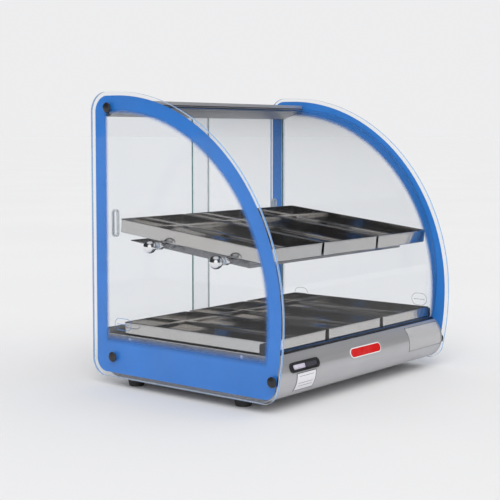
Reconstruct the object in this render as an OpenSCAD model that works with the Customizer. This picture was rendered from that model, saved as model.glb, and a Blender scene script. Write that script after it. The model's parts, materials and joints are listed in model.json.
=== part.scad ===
// Counter-top hot food display case: two flat side glasses, a curved front glass,
// sliding rear doors, a heated stainless base and two levels of lift-out pans.
// Millimetres. X runs across the case, Y from front to back, Z up.
// The origin is on the counter, under the middle of the case.

/* [Overall size] */
// Width over the outer faces of the side glasses
body_w = 460; // [450:1:470]
// Depth of the side glasses, front to back
body_d = 380; // [378:1:386]
// Height of the side glasses
panel_h = 445; // [440:1:450]
// Height of the rubber feet under the side glasses
foot_h = 15; // [12:1:20]

/* [Side glasses] */
// Thickness of every glass pane
glass_t = 4; // [3.8:0.1:4.2]
// Height at which the big front arc of a side glass starts
arc_z = 115; // [110:1:120]
// Radius of the shallow arc below the big one
lower_arc_r = 430; // [400:10:460]
// Radius of the top rear corner
top_corner_r = 32; // [26:1:36]
// Radius of the two bottom corners
low_corner_r = 27; // [22:1:30]
// Clear margin between the edge of the glass and the printed border
print_margin = 6; // [5:0.5:9]
// Width of the printed border
print_band = 23; // [16:1:26]
// Height of the top edge of the printed lower band
print_low = 57; // [54:1:62]

/* [Base] */
// Height of the deck that the lower pans stand on
base_h = 68; // [64:1:72]
// Radius of the rolled front of the base
nose_r = 37; // [36:0.5:38]
// Front-most point of the base, from the front of the side glasses
nose_front = 10; // [9:1:12]
// Rear face of the base, from the front of the side glasses
base_rear = 362; // [360:1:364]
// Sheet thickness of the base
sheet_t = 1.2; // [1:0.1:1.5]

/* [Curved front glass] */
// Outer radius of the curved front glass
curve_r = 293; // [291:1:295]
// Distance of its centre behind the front of the side glasses
curve_y = 314; // [312:1:316]
// Height of its centre
curve_z = 132; // [130:1:134]

/* [Pans] */
// Length of a pan, front to back
pan_len = 286; // [276:1:288]
// Height of an upper pan
pan_h = 21.5; // [18:0.5:24]
// Height of a lower pan
lower_pan_h = 19.2; // [16:0.1:24]
// Wall thickness of a pan
pan_t = 0.9; // [0.8:0.1:1.2]
// Width over all three pans of a level
pan_row_w = 442; // [430:1:444]
// Gap between the upper pans
upper_gap = 5; // [3:0.5:8]
// Gap between the lower pans
lower_gap = 8; // [4:0.5:10]

/* [Upper shelf] */
// Forward tilt of the upper shelf, in degrees
shelf_tilt = 6.2; // [5:0.1:7]
// Front edge of the upper pans, from the front of the side glasses
shelf_y = 44; // [43:1:47]
// Height of the front bottom edge of the upper pans
shelf_z = 196; // [192:0.5:199]
// Height of the shelf flanges that carry the pans
flange_h = 13; // [11:0.5:14]
// Diameter of the outer ball knobs
ball_d = 20; // [16:1:22]

/* [Rear doors] */
// Width of one sliding door
door_w = 250; // [240:1:256]

/* [Hidden] */
$fn = 48;

// Colours, close to the real finishes
print_blue = [0.20, 0.45, 0.85];
glass_tint = [0.80, 0.92, 0.90, 0.35];
steel_satin = [0.70, 0.71, 0.73];
steel_bright = [0.82, 0.83, 0.85];
steel_dark = [0.35, 0.35, 0.37];
rubber_black = [0.08, 0.08, 0.08];
plastic_clear = [0.80, 0.82, 0.84];
plastic_black = [0.12, 0.12, 0.13];
label_white = [0.94, 0.94, 0.93];
brass = [0.80, 0.65, 0.30];

// Side glasses and print
arc_r = panel_h - arc_z;
film_t = 0.3;
glass_in = body_w / 2 - glass_t;
film_in = glass_in - film_t;
half_in = film_in - 0.2;
corner_cross = 0.15;
low_front_y = lower_arc_r - sqrt(pow(lower_arc_r - low_corner_r, 2) - pow(arc_z - low_corner_r, 2));

// Screws of the side glasses, each as [y, z]
screw_sites = [[343, 420.5], [335, 31.7], [18.6, 34]];
screw_r = 2.5;
cap_r = 8;
cap_h = 4;
washer_t = 0.8;

// Base
nose_y = nose_front + nose_r;
tail_r = 37;
deck_under = base_h - sheet_t;
end_t = 2;
stud_ys = [78, 302];
side_stud_z = 61.5;
side_stud_r = 3;

// Rear doors and their tracks
track_front = 347;
track_back = 364;
track_wall = 1.4;
inner_door_y = track_front + track_wall + 0.6;
outer_door_y = inner_door_y + 7;
groove_w = glass_t + 1.2;
low_track_top = base_h + 6;
door_bottom = base_h + 1.6;
door_top = 415;
top_track_z = 407;
top_track_top = 421;
door_end_gap = 0.5;
pull_w = 12;
pull_l = 44;
pull_z = 239;
pull_inset = 26;
pull_lip = 1;

// Roof
roof_front = 306;
roof_top = 431.3;
roof_lip_low = 423.4;
roof_back = 366;
roof_t = 1.5;
soffit_y = 345;

// Pans
rest_gap = 0.3;
pan_corner_r = 3;
hem_w = 0.8;
hem_h = 2.2;
lower_pan_y = 33;

// Upper shelf, in its own tilted frame: s back along the shelf, n normal to it
plate_half = 203;
plate_t = 1.5;
plate_s0 = 36;
plate_s1 = 277;
flange_s1 = 212;
rail_s = 193;
stud_s = [67.5, 199];
stud_n = -flange_h / 2;
stud_r = 2.5;
stud_hole_r = 3.2;
inner_ball_r = 6;
knob_x = body_w / 2 + 1.5 + ball_d / 2;

// Rear controls, all on the flat upper part of the rear face
control_z = 51;
knob_site_x = -120;
switch_site_x = -60;
pilot_site_x = -20;
gland_site_x = 150;
knob_r = 12;
knob_len = 13;
shaft_r = 3;
gland_bore_r = 4;
rocker_y = base_rear - 2.5;
rocker_tilt = 8;
rocker_pin_r = 1.2;

// Front furniture
meter_x = -164;
meter_w = 70;
meter_h = 15;
meter_z = 49;
meter_angle = asin((meter_z - nose_r) / nose_r);

// Moves the case frame (front of glass at y = 0, bottom of glass at z = 0) to the origin
module in_case() {
  translate([0, -body_d / 2, foot_h]) children();
}

// Extrudes a profile drawn in (y, z) along X
module along_x(x0, x1) {
  translate([x0, 0, 0]) rotate([90, 0, 90]) linear_extrude(x1 - x0) children();
}

// Extrudes a profile drawn in (x, z) from y0 to y1
module along_y(y0, y1) {
  translate([0, y1, 0]) rotate([90, 0, 0]) linear_extrude(y1 - y0) children();
}

// Round bar along X from x0 to x1 at (y, z)
module bar_x(x0, x1, y, z, r) {
  translate([min(x0, x1), y, z]) rotate([0, 90, 0]) cylinder(h = abs(x1 - x0), r = r);
}

// Round bar along Y from y0 to y1 at (x, z)
module bar_y(y0, y1, x, z, r) {
  translate([x, max(y0, y1), z]) rotate([90, 0, 0]) cylinder(h = abs(y1 - y0), r = r);
}

// Rectangle with true round corners, centred
module round_rect(w, l, r) {
  square([w - 2 * r, l], center = true);
  square([w, l - 2 * r], center = true);
  for (sx = [-1, 1], sy = [-1, 1]) translate([sx * (w / 2 - r), sy * (l / 2 - r)]) circle(r);
}

// The upper shelf's tilted frame
module on_shelf() {
  in_case() translate([0, shelf_y, shelf_z]) rotate([shelf_tilt, 0, 0]) children();
}

// Waste outside a round corner of radius r about c, between two outward directions.
// The circle is a little larger, so that it crosses the edges instead of only touching them.
module corner_waste(c, r, reach) {
  if (r > 0.1) difference() {
    polygon([c, c + reach[0], c + reach[1], c + reach[2]]);
    translate(c) circle(r + corner_cross, $fn = 96);
  }
}

// Outline of a side glass in (y, z), moved inwards by inset
module side_outline(inset) {
  out = 60;
  low_c = [low_front_y, low_corner_r];
  low_dir = (low_c - [lower_arc_r, arc_z]) / norm(low_c - [lower_arc_r, arc_z]);
  difference() {
    union() {
      intersection() {
        translate([arc_r, arc_z]) circle(arc_r - inset, $fn = 240);
        translate([0, arc_z]) square([arc_r, arc_r]);
      }
      translate([arc_r, arc_z]) square([body_d - inset - arc_r, arc_r - inset]);
      intersection() {
        translate([lower_arc_r, arc_z]) circle(lower_arc_r - inset, $fn = 240);
        translate([0, inset]) square([body_d - inset, arc_z - inset]);
      }
    }
    corner_waste([body_d - top_corner_r, panel_h - top_corner_r], top_corner_r - inset,
                 [[out, 0], [out, out], [0, out]]);
    corner_waste([body_d - low_corner_r, low_corner_r], low_corner_r - inset,
                 [[out, 0], [out, -out], [0, -out]]);
    corner_waste(low_c, low_corner_r - inset, [[0, -out], [-out, -out], low_dir * out]);
  }
}

// Screw and stud holes of a side glass, in (y, z)
module side_holes(screws_only) {
  for (p = screw_sites) translate(p) circle(screw_r + 0.4);
  if (!screws_only) for (s = stud_s) translate(stud_site(s)) circle(stud_hole_r);
}

// Place of a shelf stud in the case's (y, z)
function stud_site(s) = [
  shelf_y + s * cos(shelf_tilt) - stud_n * sin(shelf_tilt),
  shelf_z + s * sin(shelf_tilt) + stud_n * cos(shelf_tilt)
];

module side_glass(side) {
  x0 = side < 0 ? -body_w / 2 : glass_in;
  color(glass_tint) in_case() along_x(x0, x0 + glass_t) difference() {
    side_outline(0);
    side_holes(false);
  }
}

module border_print(side) {
  x0 = side < 0 ? -glass_in : film_in;
  color(print_blue) in_case() along_x(x0, x0 + film_t) difference() {
    side_outline(print_margin);
    intersection() {
      side_outline(print_margin + print_band);
      translate([0, print_low]) square([body_d, panel_h]);
    }
    side_holes(true);
  }
}

// One domed cap with its screw shank, pointing inwards from the glass on the given side
module cap_screw(side) {
  dome_r = (cap_r * cap_r + cap_h * cap_h) / (2 * cap_h);
  rotate([0, side * 90, 0]) {
    translate([0, 0, washer_t]) intersection() {
      cylinder(h = cap_h, r = cap_r);
      translate([0, 0, cap_h - dome_r]) sphere(dome_r, $fn = 96);
    }
    translate([0, 0, -13]) cylinder(h = 13.2 + washer_t, r = screw_r);
  }
}

module panel_cap_screws() {
  color(plastic_black) in_case()
    for (side = [-1, 1], p = screw_sites) translate([side * body_w / 2, p[0], p[1]]) cap_screw(side);
}

module panel_screw_washers() {
  color(rubber_black) in_case()
    for (side = [-1, 1], p = screw_sites)
      translate([side * body_w / 2, p[0], p[1]]) rotate([0, side * 90, 0]) difference() {
        cylinder(h = washer_t, r = cap_r - 1);
        translate([0, 0, -1]) cylinder(h = washer_t + 2, r = screw_r + 0.05);
      }
}

// Folded roof: top plate, front lip, sloping soffit, closed ends and rear flange around the door track
module roof_panel() {
  color(steel_satin) in_case() {
    along_x(-half_in, half_in) difference() {
      polygon([[roof_front, roof_lip_low], [soffit_y, top_track_z], [roof_back, top_track_z],
               [roof_back, roof_top], [roof_front, roof_top]]);
      polygon([[roof_front + roof_t, roof_lip_low + 1], [soffit_y + roof_t, top_track_z + 1],
               [soffit_y + roof_t, top_track_z - 1], [roof_back - roof_t, top_track_z - 1],
               [roof_back - roof_t, roof_top - roof_t], [roof_front + roof_t, roof_top - roof_t]]);
    }
    for (x = [-half_in, half_in - end_t]) along_x(x, x + end_t) difference() {
      polygon([[roof_front, roof_lip_low], [soffit_y, top_track_z], [soffit_y + roof_t, top_track_z],
               [soffit_y + roof_t, roof_top], [roof_front, roof_top]]);
      translate(screw_sites[0]) circle(screw_r);
    }
  }
}

// Angle brackets inside the roof ends that take the upper cap screws
module roof_end_brackets() {
  p = screw_sites[0];
  low_z = 416.5;
  color(steel_satin) in_case() for (side = [-1, 1]) translate([side * (half_in - 12), 0, 0]) difference() {
    translate([-9.5, p[0] - 13, low_z]) cube([19, 16.4, roof_top - roof_t - low_z]);
    bar_x(-11, 11, p[0], p[1], screw_r);
  }
}

// Two-groove slide profile between y = track_front and track_back
module track_profile(z0, z1, groove_z0, groove_z1) {
  difference() {
    translate([track_front, z0]) square([roof_back - roof_t - track_front, z1 - z0]);
    for (y = [inner_door_y, outer_door_y])
      translate([y - 0.6, groove_z0]) square([groove_w, groove_z1 - groove_z0]);
  }
}

module top_door_track() {
  color(plastic_black) in_case() along_x(-half_in, half_in)
    track_profile(top_track_z, top_track_top, top_track_z - 1, top_track_top - 3);
}

module bottom_door_track() {
  color(steel_satin) in_case() along_x(-half_in, half_in) intersection() {
    track_profile(base_h, low_track_top, base_h + 1, low_track_top + 1);
    translate([track_front, base_h]) square([base_rear - track_front, low_track_top - base_h]);
  }
}

// A sliding pane with a long finger hole near its outer end
module door_pane(side, y) {
  outer_x = side * (film_in - door_end_gap);
  x0 = side < 0 ? outer_x : outer_x - door_w;
  color(glass_tint) in_case() along_y(y, y + glass_t) difference() {
    translate([x0, door_bottom]) square([door_w, door_top - door_bottom]);
    translate([outer_x - side * pull_inset, pull_z]) pull_outline(pull_w - 2);
  }
}

// Upright slot outline of the given width, with the pull's straight length
module pull_outline(w) {
  straight = pull_l - pull_w;
  square([w, straight], center = true);
  for (s = [-1, 1]) translate([0, s * straight / 2]) circle(w / 2);
}

// Flanged ring that lines the finger hole of a pane
module door_pull(side, y) {
  x = side * (film_in - door_end_gap - pull_inset);
  color(plastic_clear) in_case() translate([x, 0, pull_z]) difference() {
    union() {
      along_y(y - pull_lip, y) pull_outline(pull_w);
      along_y(y, y + glass_t) pull_outline(pull_w - 2);
      along_y(y + glass_t, y + glass_t + pull_lip) pull_outline(pull_w);
    }
    along_y(y - pull_lip - 1, y + glass_t + pull_lip + 1) pull_outline(pull_w - 4.4);
  }
}

// Curved pane: a sector of a tube between the sill and the roof lip
module front_glass() {
  half = half_in - 1;
  sill_z = base_h + 2;
  color(glass_tint) in_case() along_x(-half, half) intersection() {
    difference() {
      translate([curve_y, curve_z]) circle(curve_r, $fn = 240);
      translate([curve_y, curve_z]) circle(curve_r - glass_t, $fn = 240);
    }
    translate([0, sill_z]) square([roof_front - 2, panel_h - sill_z]);
  }
}

// Low rubber strip that the curved pane stands on
module front_glass_sill() {
  y = curve_y - sqrt(pow(curve_r, 2) - pow(curve_z - base_h, 2));
  color(rubber_black) in_case() along_x(1 - half_in, half_in - 1)
    translate([y - 0.2, base_h]) square([glass_t + 0.6, 2]);
}

// Seal between the top edge of the curved pane and the roof lip
module front_glass_head_seal() {
  y = roof_front - 2;
  z = curve_z + sqrt(pow(curve_r - glass_t, 2) - pow(curve_y - y, 2));
  color(rubber_black) in_case() along_x(1 - half_in, half_in - 1)
    translate([y, z + 0.4]) square([2, glass_t + 0.6]);
}

// Corner pads on the side glasses that keep the curved pane from moving back
module front_glass_clips() {
  pad_h = 16;
  pad_w = 12.5;
  color(rubber_black) in_case() for (side = [-1, 1])
    translate([side * (half_in - 1.6) - 1.6, 0, 0]) rotate([90, 0, 90]) linear_extrude(3.2)
      translate([33.1 + pad_w / 2, base_h + 1 + pad_h / 2]) round_rect(pad_w, pad_h, 3);
}

// Outline of the base in (y, z), moved inwards by inset
module base_outline(inset) {
  intersection() {
    union() {
      translate([nose_y, nose_r]) circle(nose_r - inset, $fn = 160);
      translate([nose_y, inset]) square([base_rear - tail_r - nose_y, base_h]);
      translate([nose_y, tail_r]) square([base_rear - inset - nose_y, base_h]);
      translate([base_rear - tail_r, tail_r]) circle(tail_r - inset, $fn = 160);
    }
    square([base_rear, base_h - inset]);
  }
}

// Sheet trough: rolled front, bottom with a service opening, and rear face with its cut-outs
module base_shell() {
  color(steel_satin) in_case() difference() {
    along_x(-half_in, half_in) difference() {
      base_outline(0);
      base_outline(sheet_t);
      translate([0, deck_under]) square([base_rear + 1, 5]);
    }
    translate([-110, 120, -1]) cube([220, 140, sheet_t + 2]);
    for (x = [-1, 1], y = [-1, 1])
      translate([x * 120, 190 + y * 60, -1]) cylinder(h = 4, r = 1.6);
    for (p = foot_sites()) translate([p[0], p[1], -1]) cylinder(h = 4, r = 2.2);
    bar_y(base_rear - 3, base_rear + 1, knob_site_x, control_z, shaft_r + 1);
    bar_y(base_rear - 3, base_rear + 1, pilot_site_x, control_z, 4);
    bar_y(base_rear - 3, base_rear + 1, gland_site_x, control_z, 7);
    translate([switch_site_x, 0, control_z]) along_y(base_rear - 3, base_rear + 1)
      square([27, 20], center = true);
    meter_frame() translate([0, 0, -4]) linear_extrude(8) round_rect(meter_w - 8, meter_h - 6, 2);
  }
}

// Frame of the front thermometer: local Z points out of the rolled front, X across it
module meter_frame() {
  translate([meter_x, nose_y, nose_r]) rotate([90 - meter_angle, 0, 0]) translate([0, 0, nose_r])
    children();
}

// End wall of the base with the threaded holes for the lower cap screws
module base_end(side) {
  x0 = side < 0 ? -half_in : half_in - end_t;
  color(steel_dark) in_case() difference() {
    along_x(x0, x0 + end_t) intersection() {
      base_outline(sheet_t);
      square([base_rear, deck_under]);
    }
    for (p = [screw_sites[1], screw_sites[2]]) bar_x(x0 - 1, x0 + end_t + 1, p[0], p[1], screw_r);
    for (y = stud_ys) bar_x(x0 - 1, x0 + end_t + 1, y, side_stud_z, side_stud_r);
  }
}

module deck_plate() {
  color(steel_bright) in_case() difference() {
    along_x(-half_in, half_in) intersection() {
      base_outline(0);
      translate([0, deck_under]) square([base_rear, sheet_t]);
    }
    for (p = deck_screw_sites()) translate([p[0], p[1], deck_under - 1]) cylinder(h = 4, r = 1.5);
  }
}

function deck_screw_sites() = [for (x = [-160, 0, 160]) [x, 334]];

module deck_screws() {
  color(steel_dark) in_case() for (p = deck_screw_sites()) translate([p[0], p[1], 0]) {
    translate([0, 0, base_h - 7]) cylinder(h = 7, r = 1.5);
    translate([0, 0, base_h]) cylinder(h = 1.2, r1 = 3, r2 = 2.2);
  }
}

// Locating studs on the base ends, just under the edge of the print
module base_side_studs() {
  color(steel_bright) in_case() for (side = [-1, 1], y = stud_ys)
    bar_x(side * (half_in - 6), side * half_in, y, side_stud_z, side_stud_r);
}

module service_cover() {
  color(steel_satin) in_case() difference() {
    translate([-130, 120 - 8, -1]) cube([260, 156, 1]);
    for (x = [-1, 1], y = [-1, 1])
      translate([x * 120, 190 + y * 60, -2]) cylinder(h = 4, r = 1.6);
    for (i = [-4:4]) translate([i * 18, 190, -2]) linear_extrude(4) round_rect(4, 60, 1.9);
  }
}

module service_cover_screws() {
  color(steel_dark) in_case() for (x = [-1, 1], y = [-1, 1]) translate([x * 120, 190 + y * 60, 0]) {
    translate([0, 0, -1]) cylinder(h = 7, r = 1.6);
    translate([0, 0, -2.6]) cylinder(h = 1.6, r1 = 2.4, r2 = 3.2);
  }
}

function foot_sites() = [for (x = [-200, 200], y = [95, 313]) [x, y]];

module rubber_feet() {
  color(rubber_black) in_case() for (p = foot_sites()) translate([p[0], p[1], -foot_h]) difference() {
    cylinder(h = foot_h, r1 = 12, r2 = 15);
    translate([0, 0, -1]) cylinder(h = 6, r = 4.5);
    cylinder(h = foot_h + 1, r = 2.2);
  }
}

module foot_screws() {
  color(steel_dark) in_case() for (p = foot_sites()) translate([p[0], p[1], 0]) {
    translate([0, 0, 5 - foot_h]) cylinder(h = foot_h + 1, r = 2.2);
    translate([0, 0, 3 - foot_h]) cylinder(h = 2, r = 4);
    translate([0, 0, sheet_t]) cylinder(h = 3, r = 4, $fn = 6);
  }
}

// Tubular element: straight runs across the base joined by half-turn bends
module heating_element() {
  tube_r = 3.2;
  pitch = 36;
  runs = 6;
  half_run = 170;
  z = 52;
  color(steel_dark) in_case() {
    for (i = [0:runs - 1]) bar_x(-half_run, half_run, element_y(i, pitch), z, tube_r);
    for (i = [0:runs - 2]) translate([i % 2 == 0 ? half_run : -half_run, element_y(i, pitch) + pitch / 2, z])
      rotate([0, 0, i % 2 == 0 ? -90 : 90]) rotate_extrude(angle = 180) translate([pitch / 2, 0]) circle(tube_r);
  }
}

function element_y(i, pitch) = 78 + i * pitch;

module element_clamps() {
  color(steel_satin) in_case() for (x = [-90, 90], y = [78, 150, 222]) {
    translate([x - 6, y - 8, 52 + 3.3]) cube([12, 16, deck_under - 52 - 3.3]);
    for (s = [-1, 1]) translate([x - 6, y + s * 6 - 1.3, 46]) cube([12, 2.6, 9.4]);
  }
}

module insulation_mat() {
  color([0.85, 0.83, 0.75]) in_case() translate([-195, 62, 26]) cube([390, 212, 16]);
}

module thermostat_body() {
  color(steel_satin) in_case() {
    translate([knob_site_x - 16, base_rear - sheet_t - 26, control_z - 14]) cube([32, 26, 27]);
    bar_y(base_rear - sheet_t - 1, base_rear + 9, knob_site_x, control_z, shaft_r);
  }
}

module thermostat_bulb() {
  color(brass) in_case() {
    bar_x(-100, -20, 300, 61, 3);
    bar_x(-120, -100, 300, 61, 1);
    translate([-120, 300, 61]) sphere(1);
    bar_y(300, base_rear - sheet_t - 26, knob_site_x, 61, 1);
  }
}

// Fluted round knob with a pointer rib, on the thermostat's shaft
module thermostat_knob() {
  y0 = base_rear + 1.6;
  color(plastic_black) in_case() difference() {
    union() {
      bar_y(y0, y0 + knob_len, knob_site_x, control_z, knob_r - 2);
      bar_y(y0, y0 + 3, knob_site_x, control_z, knob_r);
      translate([knob_site_x - 1.5, y0 + 3, control_z]) cube([3, knob_len - 3, knob_r - 0.5]);
      for (a = [30:30:330]) translate([knob_site_x, y0 + 3, control_z]) rotate([0, a, 0])
        translate([0, 0, knob_r - 2]) rotate([-90, 0, 0]) cylinder(h = knob_len - 4, r = 1);
    }
    bar_y(y0 - 1, base_rear + 9.5, knob_site_x, control_z, shaft_r + 0.05);
  }
}

module thermostat_dial() {
  color(label_white) in_case() difference() {
    bar_y(base_rear, base_rear + 0.8, knob_site_x, control_z, 15.5);
    bar_y(base_rear - 1, base_rear + 2, knob_site_x, control_z, shaft_r + 1);
  }
}

// Snap-in switch body with a bezel, a recess for the rocker and sockets for its pivots
module switch_housing() {
  color(plastic_black) in_case() translate([switch_site_x, 0, control_z]) difference() {
    union() {
      along_y(base_rear - 20, base_rear) square([26.4, 19.4], center = true);
      along_y(base_rear, base_rear + 2) round_rect(30, 23, 2);
      for (x = [-7, 7]) translate([x - 0.4, base_rear - 28, -3]) cube([0.8, 8.5, 6]);
    }
    along_y(base_rear - 9, base_rear + 3) square([20, 14], center = true);
    translate([0, rocker_y, -8]) cylinder(h = 16, r = rocker_pin_r + 0.05);
  }
}

// Rocker paddle with a hollowed face and two pivot stubs, resting in the off position
module switch_rocker() {
  color([0.75, 0.10, 0.08]) in_case() translate([switch_site_x, rocker_y, control_z])
    rotate([0, 0, -rocker_tilt]) {
      translate([0, 0, -6.4]) linear_extrude(12.8) intersection() {
        translate([0, -1.7]) circle(9, $fn = 96);
        difference() {
          translate([-8.6, -2.5]) square([17.2, 6.6]);
          translate([0, 30.5]) circle(27.3, $fn = 160);
        }
      }
      translate([0, 0, -7.7]) cylinder(h = 15.4, r = rocker_pin_r);
    }
}

module pilot_light() {
  color([0.95, 0.55, 0.10]) in_case() {
    bar_y(base_rear, base_rear + 1.5, pilot_site_x, control_z, 6);
    bar_y(base_rear - 14, base_rear, pilot_site_x, control_z, 4);
    translate([pilot_site_x, base_rear + 1.5, control_z]) intersection() {
      sphere(4.2);
      translate([-5, 0, -5]) cube(10);
    }
  }
}

module terminal_block() {
  color(label_white) in_case() difference() {
    translate([80, 300, sheet_t]) cube([44, 18, 14]);
    for (i = [0:3]) translate([85.5 + i * 11, 309, sheet_t + 8]) cylinder(h = 8, r = 2.6);
  }
}

// Straight runs of a wire with round elbows, through the given points
module wire_run(points, r) {
  for (i = [0:len(points) - 2]) {
    d = points[i + 1] - points[i];
    translate(points[i]) rotate([0, acos(d[2] / norm(d)), atan2(d[1], d[0])]) cylinder(h = norm(d), r = r, $fn = 24);
  }
  for (i = [1:len(points) - 2]) translate(points[i]) sphere(r, $fn = 24);
}

// Leads from the terminal block to the switch, the thermostat and the two element ends
module internal_wiring() {
  wire_r = 1.2;
  body_y = base_rear - sheet_t - 26;
  color([0.75, 0.2, 0.15]) in_case() {
    wire_run([[102, 300, 9], [102, 286, 9], [102, 286, 20], [-70, 286, 20],
              [-70, 318, 20], [-70, 318, control_z], [-67, 334, control_z]], wire_r);
    wire_run([[90, 300, 9], [90, 290, 9], [90, 290, 14], [-120, 290, 14],
              [-120, 320, 14], [-120, 320, 44], [-120, body_y, 44]], wire_r);
    wire_run([[-131, body_y, 46], [-131, 326, 46], [-182, 326, 46], [-182, 258, 46],
              [-182, 258, 52], [-170, 258, 52]], wire_r);
    wire_run([[84, 300, 9], [84, 281, 9], [84, 281, 12], [-206, 281, 12], [-206, 78, 12],
              [-206, 78, 52], [-170, 78, 52]], wire_r);
  }
}

// Gland that the supply cord passes through
module cable_gland() {
  color(plastic_black) in_case() difference() {
    union() {
      bar_y(base_rear, base_rear + 3, gland_site_x, control_z, 10);
      bar_y(base_rear + 3, base_rear + 12, gland_site_x, control_z, 8);
      bar_y(base_rear - 10, base_rear, gland_site_x, control_z, 7);
      translate([gland_site_x, base_rear - sheet_t - 3, control_z]) rotate([90, 0, 0])
        cylinder(h = 4, r = 11, $fn = 6);
    }
    bar_y(base_rear - 12, base_rear + 13, gland_site_x, control_z, gland_bore_r);
  }
}

module thermometer_bezel() {
  color(plastic_black) in_case() meter_frame() difference() {
    union() {
      translate([0, 0, -0.8]) linear_extrude(3.2) round_rect(meter_w, meter_h, meter_h / 2 - 0.1);
      translate([0, 0, -12]) linear_extrude(12) round_rect(meter_w - 9, meter_h - 7, 1.8);
    }
    translate([0, 0, 1]) linear_extrude(3) round_rect(meter_w - 10, meter_h - 6, 3);
  }
}

module thermometer_window() {
  color([0.8, 0.85, 0.8]) in_case() meter_frame() translate([0, 0, 1]) linear_extrude(0.8)
    round_rect(meter_w - 10.4, meter_h - 6.4, 2.8);
}

// Thin label wrapped on the rolled front between two angles, measured up from straight ahead
module nose_label(x0, x1, low_angle, high_angle) {
  label_t = 0.25;
  in_case() along_x(x0, x1) translate([nose_y, nose_r]) difference() {
    intersection() {
      circle(nose_r + label_t, $fn = 160);
      polygon([[0, 0], 60 * [-cos(low_angle), sin(low_angle)],
               60 * [-cos((low_angle + high_angle) / 2), sin((low_angle + high_angle) / 2)],
               60 * [-cos(high_angle), sin(high_angle)]]);
    }
    circle(nose_r, $fn = 160);
  }
}

module rating_label() {
  color(label_white) nose_label(-184, -137, -40, 5);
}

module caution_label() {
  color([0.85, 0.85, 0.86, 0.6]) nose_label(121, 222, -16, 46);
}

module front_badge() {
  badge_z = 48;
  a = asin((badge_z - nose_r) / nose_r);
  color([0.8, 0.1, 0.1]) in_case() translate([-6, nose_y, nose_r]) rotate([90 - a, 0, 0])
    translate([0, 0, nose_r - 0.6]) linear_extrude(1.8) round_rect(84, 16, 7.9);
}

// Shelf plate: flat sheet with upturned front and side flanges and a plain rear tail
module shelf_plate() {
  color(steel_dark) on_shelf() difference() {
    union() {
      translate([-plate_half, plate_s0, -flange_h]) cube([2 * plate_half, plate_s1 - plate_s0, plate_t]);
      translate([-plate_half, plate_s0, -flange_h]) cube([2 * plate_half, plate_t, flange_h]);
      for (side = [-1, 1]) translate([side < 0 ? -plate_half : plate_half - plate_t, plate_s0, -flange_h])
        cube([plate_t, flange_s1 - plate_s0, flange_h]);
    }
    for (s = stud_s) bar_x(-plate_half - 1, plate_half + 1, s, stud_n, stud_r);
  }
}

// Hat-section rail across the plate that carries the rear half of the pans
module shelf_cross_rail() {
  hat_w = 16;
  rail_t = 1.2;
  low = -flange_h + plate_t;
  color(steel_dark) on_shelf() along_x(-plate_half + plate_t + 0.5, plate_half - plate_t - 0.5)
    translate([rail_s - 20, low]) {
      difference() {
        square([hat_w, -low]);
        translate([rail_t, -1]) square([hat_w - 2 * rail_t, -low + 1 - rail_t]);
      }
      translate([-6, 0]) square([7, rail_t]);
      translate([hat_w - 1, 0]) square([7, rail_t]);
    }
}

// Repeats its children at the four shelf stud axes, local +X pointing out of the case
module at_studs() {
  on_shelf() for (s = stud_s, side = [0, 1]) translate([0, s, stud_n]) mirror([1 - side, 0, 0]) children();
}

module shelf_studs() {
  color(steel_bright) at_studs() bar_x(plate_half - 4, knob_x - 3, 0, 0, stud_r);
}

module shelf_ball_knobs() {
  color(steel_bright) at_studs() difference() {
    union() {
      translate([knob_x, 0, 0]) sphere(ball_d / 2, $fn = 64);
      bar_x(body_w / 2 + 1.5, body_w / 2 + 5, 0, 0, 4.5);
    }
    bar_x(body_w / 2, knob_x - 3, 0, 0, stud_r);
  }
}

module shelf_inner_nuts() {
  x = glass_in - 1.5 - inner_ball_r;
  color(steel_bright) at_studs() difference() {
    union() {
      translate([x, 0, 0]) rotate([0, 90, 0]) sphere(inner_ball_r, $fn = 48);
      bar_x(plate_half, x, 0, 0, 4);
    }
    bar_x(plate_half - 1, glass_in, 0, 0, stud_r);
  }
}

module shelf_washers() {
  color(plastic_clear) at_studs() for (x = [glass_in - 1.5, body_w / 2]) difference() {
    bar_x(x, x + 1.5, 0, 0, 6);
    bar_x(x - 1, x + 3, 0, 0, stud_r + 0.05);
  }
}

// Straight-walled pan with a folded hem, its left front bottom corner at the origin
module pan(w, h) {
  outer_w = w - 2 * hem_w;
  outer_l = pan_len - 2 * hem_w;
  translate([w / 2, pan_len / 2, 0]) difference() {
    union() {
      linear_extrude(h) round_rect(outer_w, outer_l, pan_corner_r - hem_w);
      translate([0, 0, h - hem_h]) linear_extrude(hem_h) round_rect(w, pan_len, pan_corner_r);
    }
    translate([0, 0, pan_t]) linear_extrude(h)
      round_rect(outer_w - 2 * pan_t, outer_l - 2 * pan_t, pan_corner_r - hem_w - pan_t);
  }
}

function pan_w(gap) = (pan_row_w - 2 * gap) / 3;
function pan_x(i, gap) = -pan_row_w / 2 + i * (pan_w(gap) + gap);

module upper_pan(i) {
  color(steel_bright) on_shelf() translate([pan_x(i, upper_gap), 0, rest_gap])
    pan(pan_w(upper_gap), pan_h);
}

module lower_pan(i) {
  color(steel_bright) in_case() translate([pan_x(i, lower_gap), lower_pan_y, base_h + rest_gap])
    pan(pan_w(lower_gap), lower_pan_h);
}

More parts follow.
